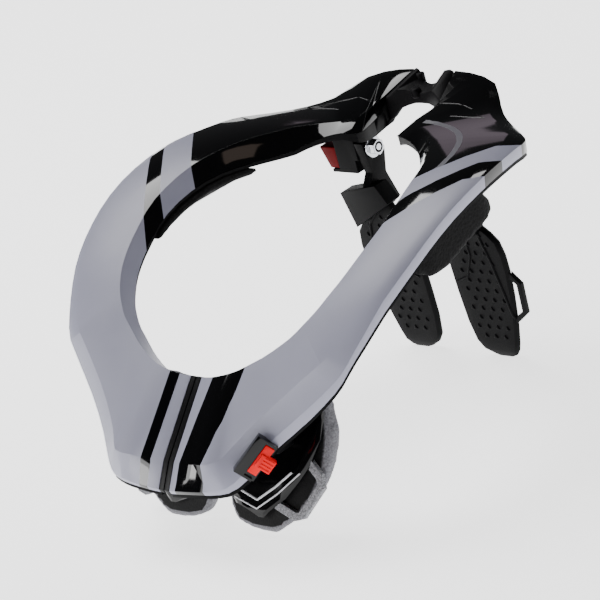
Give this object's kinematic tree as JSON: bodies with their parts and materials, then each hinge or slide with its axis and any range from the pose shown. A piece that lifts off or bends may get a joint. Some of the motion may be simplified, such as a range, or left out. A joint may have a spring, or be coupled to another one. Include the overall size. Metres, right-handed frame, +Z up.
{
  "type": "motocross neck brace",
  "caption": "Closed neck brace collar with a rear bridge and front latch, standing on padded chest paddles and hinged back wings, with shoulder pads and strap loops.",
  "frame": {"origin": "on the floor under the middle of the brace's box, where it stands on the feet of its four paddles and wings", "axes": "+X to the wearer's left, -Y to the wearer's front, +Z up; the brace is mirrored about X = 0 apart from the latch"},
  "size_m": [0.26, 0.284, 0.1674],
  "materials": {
    "grey_shell": "satin light grey with gloss black bands",
    "black_nylon": "fine moulded grain",
    "gloss_black": "polished",
    "black_rubber": "matte",
    "black_foam": "mesh-covered foam",
    "grey_foam": "closed-cell foam",
    "red_plastic": "polished",
    "bright_steel": "bright"
  },
  "bodies": {
    "collar": {"collar_shell_left": "grey_shell", "collar_shell_right": "grey_shell", "collar_frame_left": "black_nylon", "collar_frame_right": "black_nylon", "front_trim_left": "black_rubber", "front_trim_right": "black_rubber", "shoulder_pad_left": "black_foam", "shoulder_pad_right": "black_foam", "chest_plate_left": "gloss_black", "chest_plate_right": "gloss_black", "chest_pad_left": "grey_foam", "chest_pad_right": "grey_foam", "chest_loop_left": "black_nylon", "chest_loop_right": "black_nylon", "chest_hanger_left": "black_nylon", "chest_hanger_right": "black_nylon", "strut_bolt_left": "bright_steel", "strut_bolt_right": "bright_steel", "strut_bracket_left": "black_nylon", "strut_bracket_right": "black_nylon", "adjuster_left": "red_plastic", "adjuster_right": "red_plastic", "rear_bridge": "black_rubber", "latch_housing": "gloss_black"},
    "left_wing": {"strut_left": "black_nylon", "wing_left": "black_rubber", "wing_loop_left": "black_nylon"},
    "right_wing": {"strut_right": "black_nylon", "wing_right": "black_rubber", "wing_loop_right": "black_nylon"},
    "slider": {"latch_slider": "red_plastic"}
  },
  "joints": [
    {"name": "left_wing_hinge", "type": "hinge", "parent": "collar", "child": "left_wing", "pos_m": [0.0305, 0.1035, 0.133], "axis": [1, 0, 0], "range_deg": [-8, 8]},
    {"name": "right_wing_hinge", "type": "hinge", "parent": "collar", "child": "right_wing", "pos_m": [-0.0305, 0.1035, 0.133], "axis": [1, 0, 0], "range_deg": [-8, 8]},
    {"name": "slider_release", "type": "slide", "parent": "collar", "child": "slider", "axis": [-0.5367, -0.5348, -0.6526], "range_m": [0, 0.0025], "stiffness_N_per_m": 300, "springref_m": -0.001}
  ]
}
